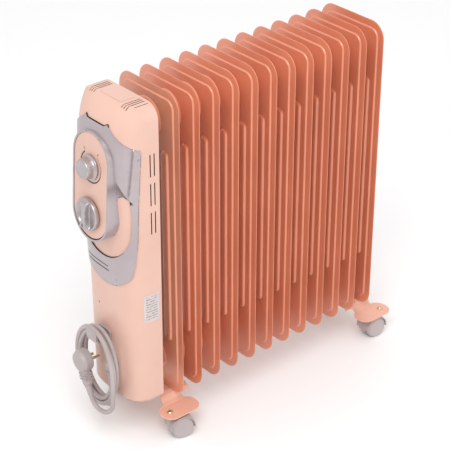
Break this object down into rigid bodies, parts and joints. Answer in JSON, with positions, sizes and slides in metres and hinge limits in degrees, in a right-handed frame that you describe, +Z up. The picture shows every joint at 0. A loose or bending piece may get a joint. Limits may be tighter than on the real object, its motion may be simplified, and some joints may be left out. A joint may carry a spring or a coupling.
{
  "type": "oil filled radiator heater",
  "caption": "Free-standing oil filled radiator with pressed steel fins, a control housing with two knobs, a wound mains lead and twin-wheel castors.",
  "frame": {"origin": "floor level, under the middle of the radiator without its cord", "axes": "+X along the stack of fins, away from the control housing; +Y to the left of someone who stands behind the housing and looks along +X; +Z up"},
  "size_m": [0.6443, 0.211, 0.64],
  "materials": {
    "fin_paint": "metallic copper lacquer, satin",
    "housing_plastic": "moulded, satin",
    "bezel_silver": "silver lacquer",
    "knob_plastic": "silver lacquer",
    "grey_moulding": "moulded, matt",
    "foot_paint": "powder coat",
    "label_film": "matt film",
    "brass": "turned",
    "plated_steel": "zinc plate",
    "galvanised_plate": "galvanised",
    "castor_plastic": "moulded, satin",
    "dark_moulding": "moulded, matt",
    "wire_cover": "silicone cover"
  },
  "bodies": {
    "radiator": {"castor_screws": "plated_steel", "control_plate": "housing_plastic", "cord_cleat": "grey_moulding", "cord_gland": "grey_moulding", "cord_hank": "grey_moulding", "cord_lead": "grey_moulding", "element_flange": "brass", "fin_01": "fin_paint", "fin_02": "fin_paint", "fin_03": "fin_paint", "fin_04": "fin_paint", "fin_05": "fin_paint", "fin_06": "fin_paint", "fin_07": "fin_paint", "fin_08": "fin_paint", "fin_09": "fin_paint", "fin_10": "fin_paint", "fin_11": "fin_paint", "fin_12": "fin_paint", "foot_plate_far": "foot_paint", "foot_plate_near": "foot_paint", "heating_element": "plated_steel", "housing_back_plate": "galvanised_plate", "housing_screws": "plated_steel", "housing_shell": "housing_plastic", "internal_wiring": "wire_cover", "lower_header": "fin_paint", "oil_filler_plug": "brass", "panel_bezel": "bezel_silver", "plug_body": "grey_moulding", "plug_pins": "brass", "rating_plate": "label_film", "selector_switch": "dark_moulding", "terminal_block": "dark_moulding", "thermal_cutout": "dark_moulding", "thermostat_body": "dark_moulding", "tilt_switch": "dark_moulding", "u_bolts": "plated_steel", "upper_header": "fin_paint", "wing_nuts": "plated_steel"},
    "thermostat_control": {"thermostat_knob": "knob_plastic", "thermostat_shaft": "plated_steel"},
    "selector_control": {"selector_knob": "knob_plastic", "selector_shaft": "plated_steel"},
    "castor_near_right_swivel": {"castor_near_right_hood": "castor_plastic", "castor_near_right_axle": "plated_steel"},
    "castor_near_right_left_wheel": {"castor_near_right_wheel_b": "castor_plastic"},
    "castor_near_right_right_wheel": {"castor_near_right_wheel_a": "castor_plastic"},
    "castor_near_left_swivel": {"castor_near_left_hood": "castor_plastic", "castor_near_left_axle": "plated_steel"},
    "castor_near_left_left_wheel": {"castor_near_left_wheel_b": "castor_plastic"},
    "castor_near_left_right_wheel": {"castor_near_left_wheel_a": "castor_plastic"},
    "castor_far_right_swivel": {"castor_far_right_hood": "castor_plastic", "castor_far_right_axle": "plated_steel"},
    "castor_far_right_left_wheel": {"castor_far_right_wheel_b": "castor_plastic"},
    "castor_far_right_right_wheel": {"castor_far_right_wheel_a": "castor_plastic"},
    "castor_far_left_swivel": {"castor_far_left_hood": "castor_plastic", "castor_far_left_axle": "plated_steel"},
    "castor_far_left_left_wheel": {"castor_far_left_wheel_b": "castor_plastic"},
    "castor_far_left_right_wheel": {"castor_far_left_wheel_a": "castor_plastic"}
  },
  "joints": [
    {"name": "thermostat_turn", "type": "hinge", "parent": "radiator", "child": "thermostat_control", "pos_m": [-0.29556, 0, 0.52715], "axis": [0.9976, 0, -0.0698], "range_deg": [0, 270]},
    {"name": "selector_turn", "type": "hinge", "parent": "radiator", "child": "selector_control", "pos_m": [-0.30128, 0, 0.44535], "axis": [0.9976, 0, -0.0698], "range_deg": [0, 135]},
    {"name": "castor_near_right_swivel", "type": "hinge", "parent": "radiator", "child": "castor_near_right_swivel", "pos_m": [-0.20881, -0.078, 0.04], "axis": [0, 0, 1], "continuous": true},
    {"name": "castor_near_right_right_wheel_spin", "type": "hinge", "parent": "castor_near_right_swivel", "child": "castor_near_right_right_wheel", "pos_m": [-0.19103, -0.0831, 0.02], "axis": [0.2756, 0.9613, 0], "continuous": true},
    {"name": "castor_near_right_left_wheel_spin", "type": "hinge", "parent": "castor_near_right_swivel", "child": "castor_near_right_left_wheel", "pos_m": [-0.19103, -0.0831, 0.02], "axis": [0.2756, 0.9613, 0], "continuous": true},
    {"name": "castor_near_left_swivel", "type": "hinge", "parent": "radiator", "child": "castor_near_left_swivel", "pos_m": [-0.20881, 0.078, 0.04], "axis": [0, 0, 1], "continuous": true},
    {"name": "castor_near_left_right_wheel_spin", "type": "hinge", "parent": "castor_near_left_swivel", "child": "castor_near_left_right_wheel", "pos_m": [-0.19103, 0.0831, 0.02], "axis": [-0.2756, 0.9613, 0], "continuous": true},
    {"name": "castor_near_left_left_wheel_spin", "type": "hinge", "parent": "castor_near_left_swivel", "child": "castor_near_left_left_wheel", "pos_m": [-0.19103, 0.0831, 0.02], "axis": [-0.2756, 0.9613, 0], "continuous": true},
    {"name": "castor_far_right_swivel", "type": "hinge", "parent": "radiator", "child": "castor_far_right_swivel", "pos_m": [0.30199, -0.078, 0.04], "axis": [0, 0, 1], "continuous": true},
    {"name": "castor_far_right_right_wheel_spin", "type": "hinge", "parent": "castor_far_right_swivel", "child": "castor_far_right_right_wheel", "pos_m": [0.28356, -0.07639, 0.02], "axis": [0.0872, 0.9962, 0], "continuous": true},
    {"name": "castor_far_right_left_wheel_spin", "type": "hinge", "parent": "castor_far_right_swivel", "child": "castor_far_right_left_wheel", "pos_m": [0.28356, -0.07639, 0.02], "axis": [0.0872, 0.9962, 0], "continuous": true},
    {"name": "castor_far_left_swivel", "type": "hinge", "parent": "radiator", "child": "castor_far_left_swivel", "pos_m": [0.30199, 0.078, 0.04], "axis": [0, 0, 1], "continuous": true},
    {"name": "castor_far_left_right_wheel_spin", "type": "hinge", "parent": "castor_far_left_swivel", "child": "castor_far_left_right_wheel", "pos_m": [0.28356, 0.07639, 0.02], "axis": [-0.0872, 0.9962, 0], "continuous": true},
    {"name": "castor_far_left_left_wheel_spin", "type": "hinge", "parent": "castor_far_left_swivel", "child": "castor_far_left_left_wheel", "pos_m": [0.28356, 0.07639, 0.02], "axis": [-0.0872, 0.9962, 0], "continuous": true}
  ]
}
